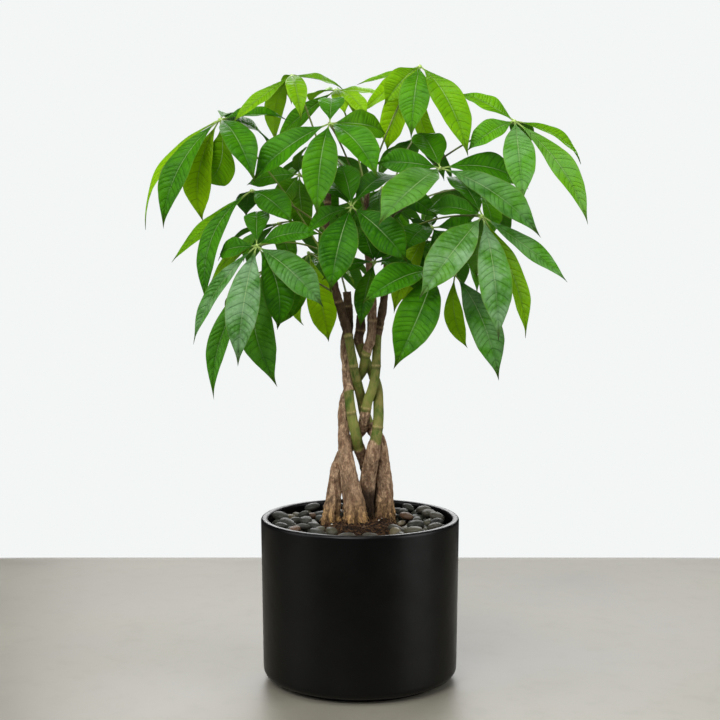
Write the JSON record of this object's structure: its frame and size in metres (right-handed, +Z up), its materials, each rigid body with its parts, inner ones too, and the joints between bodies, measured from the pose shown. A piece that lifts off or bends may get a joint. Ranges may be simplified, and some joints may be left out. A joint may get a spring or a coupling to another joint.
{
  "type": "potted money tree",
  "caption": "Money tree with a braided trunk and drooping palmate leaves, in a round matte black pot topped with river pebbles.",
  "frame": {"origin": "centre of the flat foot under the pot, on the surface that the pot stands on", "axes": "+Z up along the pot's axis, +X to the right and +Y to the back in the picture's view"},
  "size_m": [0.5602, 0.4585, 0.7873],
  "materials": {
    "pot": "matte black, evenly smooth",
    "soil": "loose and fibrous",
    "pebble": "smooth, tumbled by water",
    "stem": "ridged bark below, smooth and greener above",
    "leaf": "waxy, with a soft sheen",
    "young_leaf": "waxy, with a soft sheen, lighter and yellower"
  },
  "bodies": {
    "root": {"pot": "pot", "soil": "soil", "pebbles": "pebble", "stem_a": "stem", "stem_b": "stem", "stem_c": "stem", "stem_d": "stem", "stem_e": "stem", "leaf_01": "leaf", "leaf_02": "young_leaf", "leaf_03": "young_leaf", "leaf_04": "leaf", "leaf_05": "young_leaf", "leaf_06": "leaf", "leaf_07": "leaf", "leaf_08": "leaf", "leaf_09": "leaf", "leaf_10": "leaf", "leaf_11": "leaf", "leaf_12": "leaf", "leaf_13": "leaf", "leaf_14": "leaf", "leaf_15": "leaf", "leaf_16": "young_leaf", "leaf_17": "leaf", "leaf_18": "leaf", "leaf_19": "leaf", "leaf_20": "leaf", "leaf_21": "leaf", "leaf_22": "leaf", "leaf_23": "leaf", "leaf_24": "leaf", "leaf_25": "leaf", "leaf_26": "leaf", "leaf_27": "leaf"}
  },
  "joints": []
}
